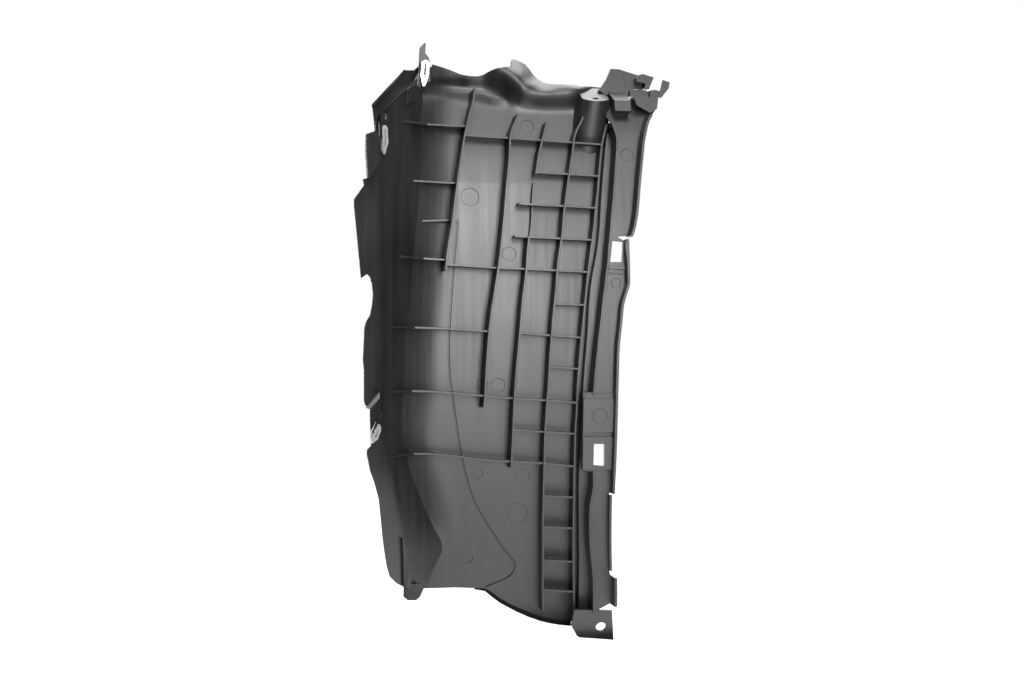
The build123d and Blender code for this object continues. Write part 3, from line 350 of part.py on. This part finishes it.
# spring clips: shoulder on the blade's mid plane, width axis, long axis
CLIPS = [
    ((-145.67, -4.3, 459.81), (0.9948, -0.0249, -0.0985), (0.1016, 0.2434, 0.9646)),
    ((-184.2, -52.94, 399.85), (0.6815, 0.7315, 0.0204), (-0.03, 0.0, 0.9996)),
    ((-189.07, -65.11, 171.13), (0.3391, 0.4092, -0.8471), (0.3047, 0.8041, 0.5104)),
]
# pocket behind the top clip: inner and outer outline
POCKET_IN = [
    (-149.74, 469.36), (-140.09, 469.74), (-141.25, 433.92), (-150.81, 433.6),
]
POCKET_OUT = [
    (-150.48, 456.1), (-136.61, 456.61), (-137.42, 431.02), (-151.21, 430.57),
]

# ---- helpers ----
FAR = 160.0


def drum(level):
    """Solid drum that follows the arch at one level."""
    return Solid.make_cylinder(ARCH_R - level, 700,
                               Plane(origin=(-450, ARCH_Y, ARCH_Z), x_dir=(0, 1, 0), z_dir=(1, 0, 0)))


def prism(points, y0=-FAR, y1=FAR):
    """Upright outline (x, z) drawn out along Y."""
    face = Face(Wire.make_polygon([Vector(x, y0, z) for x, z in points], close=True))
    return Solid.extrude(face, Vector(0, y1 - y0, 0))


def between(solid, near, far):
    """The part of a solid between two levels."""
    return (solid & drum(near)) - drum(far)


def offset_line(path, d):
    """Points of a path shifted sideways by d."""
    res = []
    for i, (x, z) in enumerate(path):
        x0, z0 = path[max(0, i - 1)]
        x1, z1 = path[min(len(path) - 1, i + 1)]
        dx, dz = x1 - x0, z1 - z0
        ln = math.hypot(dx, dz)
        res.append((x - dz / ln * d, z + dx / ln * d))
    return res


def ribbon(path, t, y0=-FAR, y1=FAR, smooth=True):
    """A thin wall of thickness t along a path (x, z), drawn out along Y."""
    a = [Vector(x, y0, z) for x, z in offset_line(path, t / 2)]
    b = [Vector(x, y0, z) for x, z in reversed(offset_line(path, -t / 2))]
    if len(path) == 2 or not smooth:
        wire = Wire.make_polygon(a + b, close=True)
    else:
        wire = Wire([Edge.make_spline(a), Edge.make_line(a[-1], b[0]),
                     Edge.make_spline(b), Edge.make_line(b[-1], a[0])])
    return Solid.extrude(Face(wire), Vector(0, y1 - y0, 0))


def grown(stations, d):
    """Stations with one more row and column added at each side, d further out."""
    def ahead(p, q):
        p, q = Vector(*p), Vector(*q)
        return tuple(p + (p - q).normalized() * d)
    rows = [[ahead(r[0], r[1])] + list(r) + [ahead(r[-1], r[-2])] for r in stations]
    first = [ahead(p, q) for p, q in zip(rows[0], rows[1])]
    last = [ahead(p, q) for p, q in zip(rows[-1], rows[-2])]
    return [first] + rows + [last]


def shifted(stations, d):
    """Stations moved along Y so that the surface lies d deeper, measured square to itself."""
    n, m = len(stations), len(stations[0])
    res = []
    for i in range(n):
        row = []
        for j in range(m):
            a = Vector(*stations[max(0, i - 1)][j])
            b = Vector(*stations[min(n - 1, i + 1)][j])
            c = Vector(*stations[i][max(0, j - 1)])
            e = Vector(*stations[i][min(m - 1, j + 1)])
            lean = max(0.45, abs((b - a).cross(e - c).normalized().Y))
            x, y, z = stations[i][j]
            row.append((x, y + d / lean, z))
        res.append(row)
    return res


def face_of(stations):
    """Smooth face through rows of stations."""
    m = len(stations[0])
    knots = [0.0] * m
    for r in stations:
        run = [0.0]
        for p, q in zip(r, r[1:]):
            run.append(run[-1] + (Vector(*q) - Vector(*p)).length)
        knots = [k + d / run[-1] / len(stations) for k, d in zip(knots, run)]
    knots[0], knots[-1] = 0.0, 1.0
    rows = [Wire([Edge.make_spline([Vector(*p) for p in r], parameters=knots)]) for r in stations]
    return Shell.make_loft(rows, ruled=False).faces()[0]


def behind(stations, d):
    """Everything behind the surface that lies d under the stations."""
    return Solid.extrude(face_of(grown(shifted(stations, d), 6.0)), Vector(0, FAR, 0))


def skin(stations, t=WALL):
    """Shell of thickness t whose ribbed face runs through the stations."""
    return Solid.extrude(face_of(stations), Vector(0, FAR - 20, 0)) - behind(stations, t)


# ---- main panel ----
panel_outline = PANEL_TOP + PANEL_BOTTOM + [(PANEL_IN_X, 60), (PANEL_IN_X, 430)]
panel = skin(PANEL) & prism(panel_outline)
front_volume = Solid.extrude(face_of(PANEL), Vector(0, FAR - 20, 0))
pocket_block = (prism(POCKET_OUT) & front_volume) - drum(-1.5)
pocket = prism(POCKET_IN) - drum(-4.0)
panel = panel.fuse(*pocket_block.solids()) - pocket

# ---- side wall with its rim ----
side_full = skin(SIDE)
side_outline = SIDE_OUT + [(SIDE_IN_X, SIDE_OUT[-1][1]), (SIDE_IN_X, SIDE_OUT[0][1])]
side = side_full & prism(side_outline)
ledge = (side_full.moved(Location((0, 7.0, 0))) & prism(LEDGE)) - pocket
wall_depth = Solid.extrude(face_of(SIDE), Vector(0, 12, 0))
ledge_edge = ribbon(LEDGE_EDGE, 1.4) & wall_depth.moved(Location((0, -0.5, 0)))
ledge_rim = ribbon(LEDGE_RIM, 2.0) & wall_depth.moved(Location((0, 1.5, 0)))

# ---- ribs, grown from the skin ----
back_panel = behind(PANEL, WALL / 2)
back_side = behind(SIDE, WALL / 2)
ribs = []
for name, (h, path) in RIBS.items():
    wall = ribbon(path, RIB_T, -FAR, 60)
    rib = wall & drum(-h)
    if name in RIB_RISE:
        (xa, ya), (xb, yb) = RIB_RISE[name]
        web = Face(Wire.make_polygon([Vector(xa - 0.1, ya, ARCH_Z - 300), Vector(xb, yb, ARCH_Z - 300),
                                      Vector(xb, 61, ARCH_Z - 300), Vector(xa - 0.1, 61, ARCH_Z - 300)], close=True))
        rib = rib.fuse(wall & Solid.extrude(web, Vector(0, 0, 600)))
    rib = rib - back_panel - back_side
    ribs += [s for s in rib.solids() if s.volume > 5]

# ---- strip, step, flange and lip ----
strip_outline = STRIP_LEFT + list(reversed(STRIP_RIGHT))
strip = between(prism(strip_outline), STRIP_LEVEL, STRIP_LEVEL + WALL)
strip_wall = between(ribbon(STRIP_LEFT, RIB_T), STRIP_LEVEL, 0.6 * WALL)
step_up = between(ribbon(STEP_UP, RIB_T), STEP_EDGE, STRIP_LEVEL + WALL)
step_low = between(ribbon(STEP_LOW, RIB_T), STEP_EDGE, STRIP_LEVEL + WALL)
flange_top = skin(FLANGE_TOP) & prism(FLANGE_TOP_OUT)
flange_outline = FLANGE_IN + list(reversed(FLANGE_OUT))
flange = between(prism(flange_outline), FLANGE_LEVEL, FLANGE_LEVEL + WALL)
lip_foot = FLANGE_LEVEL + 0.6 * WALL
lips = [between(ribbon(FLANGE_TOP_EDGE[1:], LIP_T), LIP_TOP, lip_foot),
        between(ribbon(FLANGE_MID_EDGE, LIP_T), LIP_MID, lip_foot),
        between(ribbon(FLANGE_LOW_EDGE, LIP_T), LIP_LOW, lip_foot),
        between(ribbon(FLANGE_END_EDGE, LIP_T), LIP_END, lip_foot)]
pads = [between(prism(PAD_UP), FLANGE_LEVEL - 3.5, FLANGE_LEVEL + 1),
        between(prism(PAD_LOW), FLANGE_LEVEL - 2.5, FLANGE_LEVEL + 1),
        between(prism(PAD_SHOULDER), FLANGE_LEVEL - 1.5, FLANGE_LEVEL + 1),
        between(prism(RIDGE_1), FLANGE_LEVEL - 2, FLANGE_LEVEL + 1),
        between(prism(RIDGE_2), FLANGE_LEVEL - 1, FLANGE_LEVEL + 1)]

# ---- lower tab ----
tab_plane = Plane(origin=(0, 0, 0), x_dir=(1, 0, 0),
                  z_dir=(0, -math.cos(math.radians(TAB_TILT)), -math.sin(math.radians(TAB_TILT))))
tab_face = Face(Wire.make_polygon([tab_plane.from_local_coords((x, z, 0)) for x, z in TAB], close=True))
tab = Solid.extrude(tab_face, tab_plane.z_dir * -TAB_T)

# ---- flared lip under the lower arc ----
stations = []
for p, q in zip(LIP_UP, LIP_DOWN):
    p, q = Vector(*p), Vector(*q)
    d = Vector(0, 2.4, 0)
    stations.append(Wire.make_polygon([p, q, q + d, p + d], close=True))
lower_lip = Solid.make_loft(stations, ruled=True)

# ---- screw tower with its shelf ----
tw = math.radians(TOWER_TILT)
tower_plane = Plane(origin=TOWER_HOLE, x_dir=(1, 0, 0), z_dir=(0, -math.sin(tw), math.cos(tw)))


def tower_wire(depth):
    """Outline of the tower at a depth below its shelf."""
    l, r = TOWER_LEFT - TOWER_DRAFT[0] * depth, TOWER_RIGHT + TOWER_DRAFT[1] * depth
    f, b = TOWER_FRONT + TOWER_DRAFT[2] * depth, TOWER_BACK
    at = [tower_plane.from_local_coords((x, y, -depth)) for x, y in
          ((r, -f * 0.2), (r, b), (l, b), (l, -f * 0.2), ((l + r) / 2, -f))]
    return Wire([Edge.make_line(at[0], at[1]), Edge.make_line(at[1], at[2]), Edge.make_line(at[2], at[3]),
                 Edge.make_three_point_arc(at[3], at[4], at[0])])


tower = Solid.make_loft([tower_wire(0.0), tower_wire(62.0)], ruled=True)
tower = tower - back_panel - drum(WALL)
tower = max(tower.solids(), key=lambda s: s.volume)
block_face = Face(Wire.make_polygon([Vector(BLOCK_X[0], y, z) for y, z in BLOCK], close=True))
block = Solid.extrude(block_face, Vector(BLOCK_X[1] - BLOCK_X[0], 0, 0))
bits = {}
for name, (pts, near, far) in list(BRACKET.items()) + list(WALL_BITS.items()):
    bits[name] = between(prism(pts), near, far)
hook_box = bits.pop("HOOK_BOX") - bits.pop("HOOK_POCKET")
bits["BLADE_STEM"] = bits["BLADE_STEM"] - back_side
for name, lift in (("RIM_PLATE", 6.0), ("WALL_PAD", 2.0)):
    bits[name] = prism(WALL_BITS[name][0]) & wall_depth.moved(Location((0, -lift, 0)))
for i, up in ((1, 8.4), (2, 13.0)):
    o, xd, zd = CLIPS[i]
    at = Plane(origin=o, x_dir=xd, z_dir=zd)
    corner = at.from_local_coords((-BLADE_W / 2, -BLADE_T / 2, -BLADE_DOWN))
    bits["BLADE_%d" % i] = Solid.make_box(BLADE_W, BLADE_T, up + BLADE_DOWN, Plane(origin=corner, x_dir=xd, z_dir=zd)) - back_side



def join(first, *others):
    """Pieces fused one after the other."""
    whole = first
    for piece in others:
        for s in piece.solids():
            for nudge in (0.0, 0.03, -0.05, 0.09, -0.13):
                new = whole.fuse(s.moved(Location((nudge, 0, nudge))))
                if len(new.solids()) <= len(whole.solids()) + 1 and new.volume > 0.99 * whole.volume:
                    whole = new
                    break
    return whole


right = join(strip, strip_wall, step_up, step_low, flange, flange_top, *lips, tab, *pads, tower, block, hook_box,
             bits.pop("UPRIGHT"), bits.pop("BEAM"), bits.pop("HOOK_BAR"), bits.pop("HOOK_TAB"), bits.pop("FACET"))
left = join(panel, side, ledge, ledge_edge, ledge_rim, lower_lip, *bits.values())
liner = join(left, right)
liner = join(liner, *ribs)

# ---- holes ----
cut = [prism(SLOT_1), prism(SLOT_2)]
hole = Solid.make_cylinder(TAB_HOLE_R, 20, Plane(origin=tab_plane.origin + tab_plane.z_dir * -10, z_dir=tab_plane.z_dir))
tower_hole = Solid.make_cylinder(TOWER_HOLE_R, TOWER_HOLE_L + 5,
                                 Plane(origin=tower_plane.origin - tower_plane.z_dir * TOWER_HOLE_L, z_dir=tower_plane.z_dir))
core_end = tower_plane.origin - tower_plane.z_dir * (TOWER_HOLE_L + 30)
tower_core = Solid.make_cylinder(TOWER_CORE_R, 30, Plane(origin=core_end, z_dir=tower_plane.z_dir))
liner = liner - cut[0] - cut[1] - hole - tower_hole - tower_core
for x, z, r, lv in FLANGE_MARKS:
    m = Solid.make_cylinder(r, 2 * FAR, Plane(origin=(x, -FAR, z), x_dir=(1, 0, 0), z_dir=(0, 1, 0)))
    liner = liner - between(m, lv - 0.3, lv + MARK_D)

# ---- groove and pin marks, sunk in the panel's face ----
near_face = behind(PANEL, -0.25)
groove = (ribbon(GROOVE, GROOVE_W, smooth=False) & near_face) - behind(PANEL, GROOVE_D)
liner = liner - groove
deep = behind(PANEL, MARK_D)
for x, z, r in PIN_MARKS:
    m = Solid.make_cylinder(r, 2 * FAR, Plane(origin=(x, -FAR, z), x_dir=(1, 0, 0), z_dir=(0, 1, 0)))
    liner = liner - ((m & near_face) - deep)
body = sorted(liner.solids(), key=lambda s: -s.volume)

# ---- spring clips: one bent sheet, three times ----
yi = BLADE_T / 2 + CLIP_GAP
yo = yi + CLIP_T
hw, hb = CLIP_W / 2, CLIP_BARB_W / 2


def side_on(points, x0, x1):
    """Outline (y, z) drawn out along X."""
    face = Face(Wire.make_polygon([Vector(x0, y, z) for y, z in points], close=True))
    return Solid.extrude(face, Vector(x1 - x0, 0, 0))


def front_on(edges, y0, y1):
    """Outline (x, z), lines and arcs, drawn out along Y."""
    run = []
    for e in edges:
        v = [Vector(x, y0, z) for x, z in e]
        run.append(Edge.make_line(*v) if len(v) == 2 else Edge.make_three_point_arc(*v))
    return Solid.extrude(Face(Wire(run)), Vector(0, y1 - y0, 0))


strip_clip = side_on([(-yo, 0), (-yo, -CLIP_BODY), (-0.45, 0.5 - CLIP_LEN), (0, -CLIP_LEN), (0.45, 0.5 - CLIP_LEN),
                      (yo, -CLIP_BODY), (yo, CLIP_RING), (yi, CLIP_RING), (yi, 0.1 - CLIP_BODY), (0, 2.3 - CLIP_LEN),
                      (-yi, 0.1 - CLIP_BODY), (-yi, 0)], -5, 5)
arch = CLIP_RING - hw
outline = front_on([((-0.9, -CLIP_LEN - 0.2), (0.9, -CLIP_LEN - 0.2)), ((0.9, -CLIP_LEN - 0.2), (hb, 0.5 - CLIP_BODY)),
                    ((hb, 0.5 - CLIP_BODY), (hw, 4.0 - CLIP_BODY)), ((hw, 4.0 - CLIP_BODY), (hw, arch)),
                    ((hw, arch), (0, CLIP_RING), (-hw, arch)), ((-hw, arch), (-hw, 4.0 - CLIP_BODY)),
                    ((-hw, 4.0 - CLIP_BODY), (-hb, 0.5 - CLIP_BODY)), ((-hb, 0.5 - CLIP_BODY), (-0.9, -CLIP_LEN - 0.2))], -4, 4)
clip = strip_clip & outline
top_round = side_on([(-4, -2.6), (0, -2.6), (0, 6), (-4, 6)], -5, 5) - front_on(
    [((-hw, -3), (hw, -3)), ((hw, -3), (hw, -2.6)), ((hw, -2.6), (0, 0), (-hw, -2.6)), ((-hw, -2.6), (-hw, -3))], -5, 1)
window = front_on([((-0.8, -15), (0, -15.8), (0.8, -15)), ((0.8, -15), (0.8, -3.6)), ((0.8, -3.6), (0, -2.8), (-0.8, -3.6)),
                   ((-0.8, -3.6), (-0.8, -15))], -4, -0.2)
ring = front_on([((-1.9, 0.2), (1.9, 0.2)), ((1.9, 0.2), (1.9, arch)), ((1.9, arch), (0, arch + 1.9), (-1.9, arch)),
                 ((-1.9, arch), (-1.9, 0.2))], 0.2, 4)
clip = clip - top_round - window - ring
clips = [clip.solids()[0].moved(Plane(origin=o, x_dir=xd, z_dir=zd).location) for o, xd, zd in CLIPS]

# ---- room for the two upper clips around their blades ----
liner = body[0]
for o, xd, zd in CLIPS[:2]:
    at = Plane(origin=o, x_dir=xd, z_dir=zd)
    w, back, end = hb + CLIP_ROOM, yo + CLIP_ROOM, -BLADE_DOWN
    for y0, y1, z0, z1 in ((-4.0, back, -CLIP_LEN - CLIP_ROOM, end - 0.02), (-4.0, -BLADE_T / 2, end - 0.5, CLIP_ROOM),
                           (BLADE_T / 2, back, end - 0.5, CLIP_RING + CLIP_ROOM)):
        corner = at.from_local_coords((-w, y0, z0))
        liner = liner - Solid.make_box(2 * w, y1 - y0, z1 - z0, Plane(origin=corner, x_dir=xd, z_dir=zd))
liner = max(liner.solids(), key=lambda s: s.volume)

os.makedirs("parts", exist_ok=True)
export_step(liner, "parts/liner_panel.step", write_pcurves=False)
export_step(Compound(children=clips), "parts/spring_clips.step", write_pcurves=False)
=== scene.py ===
import math
import bpy
from mathutils import Matrix, Vector


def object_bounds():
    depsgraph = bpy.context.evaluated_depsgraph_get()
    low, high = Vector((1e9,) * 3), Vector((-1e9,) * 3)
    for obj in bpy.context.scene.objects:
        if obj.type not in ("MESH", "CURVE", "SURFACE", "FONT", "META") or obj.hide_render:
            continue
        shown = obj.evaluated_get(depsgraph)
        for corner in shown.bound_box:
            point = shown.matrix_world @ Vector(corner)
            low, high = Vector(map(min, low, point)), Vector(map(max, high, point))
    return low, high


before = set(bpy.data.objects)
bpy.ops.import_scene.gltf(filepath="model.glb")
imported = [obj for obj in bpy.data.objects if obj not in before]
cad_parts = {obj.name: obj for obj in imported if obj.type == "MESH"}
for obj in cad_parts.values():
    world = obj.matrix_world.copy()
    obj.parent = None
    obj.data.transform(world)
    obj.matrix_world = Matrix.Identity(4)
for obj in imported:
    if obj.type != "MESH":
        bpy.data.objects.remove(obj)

cad_box = [list(v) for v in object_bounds()]
scene = bpy.context.scene


# ---------------------------------------------------------------- node helpers
def new_material(name):
    m = bpy.data.materials.new(name)
    m.use_nodes = True
    m.node_tree.nodes.clear()
    return m, m.node_tree.nodes, m.node_tree.links


def add(nodes, kind, **values):
    n = nodes.new(kind)
    for k, v in values.items():
        setattr(n, k, v)
    return n


def math_node(nodes, links, op, a, b=None, clamp=False):
    n = nodes.new("ShaderNodeMath")
    n.operation = op
    n.use_clamp = clamp
    for i, v in enumerate((a, b)):
        if v is None:
            continue
        if isinstance(v, (int, float)):
            n.inputs[i].default_value = v
        else:
            links.new(v, n.inputs[i])
    return n.outputs[0]


def noise(nodes, links, vector, scale, detail=3.0, rough=0.5):
    n = nodes.new("ShaderNodeTexNoise")
    n.inputs["Scale"].default_value = scale
    n.inputs["Detail"].default_value = detail
    n.inputs["Roughness"].default_value = rough
    links.new(vector, n.inputs["Vector"])
    return n.outputs["Fac"]


def stretched(nodes, links, vector, sx, sy, sz):
    n = nodes.new("ShaderNodeMapping")
    n.inputs["Scale"].default_value = (sx, sy, sz)
    links.new(vector, n.inputs["Vector"])
    return n.outputs["Vector"]


def ramp(nodes, links, fac, stops):
    n = nodes.new("ShaderNodeValToRGB")
    cr = n.color_ramp
    while len(cr.elements) < len(stops):
        cr.elements.new(0.5)
    for e, (p, c) in zip(cr.elements, stops):
        e.position = p
        e.color = (c, c, c, 1.0) if isinstance(c, (int, float)) else (*c, 1.0)
    links.new(fac, n.inputs["Fac"])
    return n.outputs["Color"]


def remap(nodes, links, v, a0, a1, b0, b1):
    n = nodes.new("ShaderNodeMapRange")
    n.inputs["From Min"].default_value = a0
    n.inputs["From Max"].default_value = a1
    n.inputs["To Min"].default_value = b0
    n.inputs["To Max"].default_value = b1
    links.new(v, n.inputs["Value"])
    return n.outputs["Result"]


# ---------------------------------------------------------------- moulded plastic
def plastic():
    m, nodes, links = new_material("liner_plastic_satin")
    out = nodes.new("ShaderNodeOutputMaterial")
    bsdf = nodes.new("ShaderNodeBsdfPrincipled")
    links.new(bsdf.outputs[0], out.inputs[0])
    coords = nodes.new("ShaderNodeTexCoord")
    pos = coords.outputs["Object"]

    cloud = noise(nodes, links, pos, 14.0, 4.0, 0.55)
    streak = noise(nodes, links, stretched(nodes, links, pos, 170.0, 60.0, 7.0), 1.0, 3.0, 0.6)
    speck = noise(nodes, links, pos, 900.0, 2.0, 0.6)
    dust = noise(nodes, links, pos, 240.0, 5.0, 0.7)

    tone = math_node(nodes, links, "ADD", remap(nodes, links, cloud, 0.3, 0.7, -0.004, 0.004),
                     remap(nodes, links, streak, 0.3, 0.7, -0.003, 0.004))
    tone = math_node(nodes, links, "ADD", tone, remap(nodes, links, dust, 0.62, 0.8, 0.0, 0.012))
    # a lighter, slightly glossier patch on the front-facing faces of the panel's ribbed side, below a straight line,
    # fading downwards
    axes = nodes.new("ShaderNodeSeparateXYZ")
    links.new(pos, axes.inputs[0])
    facing = nodes.new("ShaderNodeSeparateXYZ")
    links.new(coords.outputs["Normal"], facing.inputs[0])
    patch = math_node(nodes, links, "MULTIPLY", remap(nodes, links, axes.outputs[0], -0.1215, -0.1195, 0.0, 1.0),
                      remap(nodes, links, axes.outputs[0], -0.0610, -0.0590, 1.0, 0.0))
    patch = math_node(nodes, links, "MULTIPLY", patch, remap(nodes, links, axes.outputs[2], 0.3620, 0.3632, 1.0, 0.0))
    patch = math_node(nodes, links, "MULTIPLY", patch, remap(nodes, links, axes.outputs[2], 0.2400, 0.3600, 0.0, 1.0))
    patch = math_node(nodes, links, "MULTIPLY", patch, remap(nodes, links, facing.outputs[1], -0.8, -0.5, 1.0, 0.0))
    tone = math_node(nodes, links, "ADD", tone, math_node(nodes, links, "MULTIPLY", patch, 0.007))
    tone = math_node(nodes, links, "ADD", tone, 0.013)
    col = nodes.new("ShaderNodeCombineColor")
    links.new(tone, col.inputs[0])
    links.new(tone, col.inputs[1])
    links.new(math_node(nodes, links, "MULTIPLY", tone, 1.02), col.inputs[2])
    links.new(col.outputs[0], bsdf.inputs["Base Color"])

    rough = math_node(nodes, links, "ADD", remap(nodes, links, cloud, 0.3, 0.7, 0.38, 0.44),
                      remap(nodes, links, streak, 0.3, 0.7, -0.025, 0.03))
    rough = math_node(nodes, links, "SUBTRACT", rough, math_node(nodes, links, "MULTIPLY", patch, 0.035))
    links.new(rough, bsdf.inputs["Roughness"])
    bsdf.inputs["IOR"].default_value = 1.5
    bsdf.inputs["Specular IOR Level"].default_value = 0.7

    edge = nodes.new("ShaderNodeBevel")
    edge.samples = 4
    edge.inputs["Radius"].default_value = 0.0006
    grain = nodes.new("ShaderNodeBump")
    grain.inputs["Strength"].default_value = 0.12
    grain.inputs["Distance"].default_value = 0.0002
    links.new(speck, grain.inputs["Height"])
    links.new(edge.outputs["Normal"], grain.inputs["Normal"])
    wave = nodes.new("ShaderNodeBump")
    wave.inputs["Strength"].default_value = 0.25
    wave.inputs["Distance"].default_value = 0.0006
    links.new(streak, wave.inputs["Height"])
    links.new(grain.outputs["Normal"], wave.inputs["Normal"])
    links.new(wave.outputs["Normal"], bsdf.inputs["Normal"])
    return m


# ---------------------------------------------------------------- spring steel
def steel():
    m, nodes, links = new_material("clip_zinc_steel")
    out = nodes.new("ShaderNodeOutputMaterial")
    bsdf = nodes.new("ShaderNodeBsdfPrincipled")
    links.new(bsdf.outputs[0], out.inputs[0])
    pos = nodes.new("ShaderNodeTexCoord").outputs["Object"]
    cloud = noise(nodes, links, pos, 260.0, 3.0, 0.6)
    brush = noise(nodes, links, stretched(nodes, links, pos, 2600.0, 2600.0, 160.0), 1.0, 2.0, 0.5)
    links.new(ramp(nodes, links, cloud, [(0.25, (0.66, 0.66, 0.65)), (0.75, (0.88, 0.88, 0.87))]), bsdf.inputs["Base Color"])
    bsdf.inputs["Metallic"].default_value = 0.65
    links.new(remap(nodes, links, brush, 0.3, 0.7, 0.34, 0.48), bsdf.inputs["Roughness"])
    b = nodes.new("ShaderNodeBump")
    b.inputs["Strength"].default_value = 0.1
    b.inputs["Distance"].default_value = 0.0001
    links.new(brush, b.inputs["Height"])
    links.new(b.outputs["Normal"], bsdf.inputs["Normal"])
    return m


def dress(obj, material):
    obj.data.materials.clear()
    obj.data.materials.append(material)


dress(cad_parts["liner_panel"], plastic())
dress(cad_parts["spring_clips"], steel())

# ---------------------------------------------------------------- camera
turn = math.radians(10.5)
look = Vector((math.sin(turn), math.cos(turn), 0.0))
up = Vector((0.0, 0.0, 1.0))
aim = Vector((-0.07798051, -0.01913814, 0.23495602))
cam_data = bpy.data.cameras.new("photo_camera")
cam_data.sensor_width = 36.0
cam_data.lens = 36.0 * 1422.2 / 1024.0
cam_data.clip_start = 0.01
cam = bpy.data.objects.new("photo_camera", cam_data)
scene.collection.objects.link(cam)
pose = Matrix((look.cross(up), up, -look)).transposed().to_4x4()
pose.translation = aim - look * 1.1378
cam.matrix_world = pose
scene.camera = cam


# ---------------------------------------------------------------- floor, backdrop and light
def stage_material():
    m, nodes, links = new_material("pale_floor")
    out = nodes.new("ShaderNodeOutputMaterial")
    mix = nodes.new("ShaderNodeAddShader")
    d = nodes.new("ShaderNodeBsdfDiffuse")
    d.inputs["Color"].default_value = (0.35, 0.35, 0.35, 1.0)
    e = nodes.new("ShaderNodeEmission")
    e.inputs["Color"].default_value = (1.0, 1.0, 1.0, 1.0)
    e.inputs["Strength"].default_value = 1.0
    links.new(d.outputs[0], mix.inputs[0])
    links.new(e.outputs[0], mix.inputs[1])
    links.new(mix.outputs[0], out.inputs[0])
    return m


low = cad_box[0][2]
me = bpy.data.meshes.new("floor")
s = 4.0
me.from_pydata([(-s, -s, low), (s, -s, low), (s, s, low), (-s, s, low)], [], [(0, 1, 2, 3)])
floor = bpy.data.objects.new("floor", me)
scene.collection.objects.link(floor)
me.materials.append(stage_material())
floor.visible_diffuse = False
floor.visible_glossy = False

world = bpy.data.worlds.new("studio")
scene.world = world
world.use_nodes = True
wn, wl = world.node_tree.nodes, world.node_tree.links
bg = wn["Background"]
bg.inputs["Color"].default_value = (1.0, 1.0, 1.0, 1.0)
lp = wn.new("ShaderNodeLightPath")
mr = wn.new("ShaderNodeMapRange")
mr.inputs["To Min"].default_value = 0.025
mr.inputs["To Max"].default_value = 1.0
wl.new(lp.outputs["Is Camera Ray"], mr.inputs["Value"])
wl.new(mr.outputs["Result"], bg.inputs["Strength"])


def softbox(name, place, target, size_x, size_y, power):
    l = bpy.data.lights.new(name, "AREA")
    l.shape = "RECTANGLE"
    l.size = size_x
    l.size_y = size_y
    l.energy = power
    o = bpy.data.objects.new(name, l)
    scene.collection.objects.link(o)
    o.location = place
    o.visible_camera = False
    o.rotation_euler = (Vector(target) - Vector(place)).to_track_quat("-Z", "Y").to_euler()
    return o


mid = Vector((-0.08, -0.02, 0.26))
softbox("key", (0.07, -1.48, 0.50), mid, 0.36, 1.10, 25.5)
softbox("over", (-0.14, -0.62, 1.32), mid + Vector((0.0, 0.0, 0.15)), 0.6, 0.5, 8.5)
softbox("top", (-0.05, 0.75, 1.25), mid + Vector((0.0, 0.0, 0.15)), 1.5, 1.0, 13.0)
softbox("roof", (0.30, 0.26, 1.42), (-0.02, 0.0, 0.44), 0.8, 0.6, 8.0)
softbox("corner", (0.50, -1.30, 1.25), (0.0, 0.0, 0.42), 0.35, 0.35, 1.8)
softbox("rear", (0.10, 1.45, 0.35), mid, 1.1, 0.9, 16.0)
softbox("card", (0.02, -0.215, low + 0.002), (0.02, -0.215, 1.0), 0.34, 0.42, 0.8)
softbox("card_far", (0.0, -0.53, low + 0.002), (0.0, -0.53, 1.0), 0.4, 0.20, 1.6)

scene.view_settings.view_transform = "Standard"
scene.view_settings.look = "None"

bpy.context.view_layer.update()
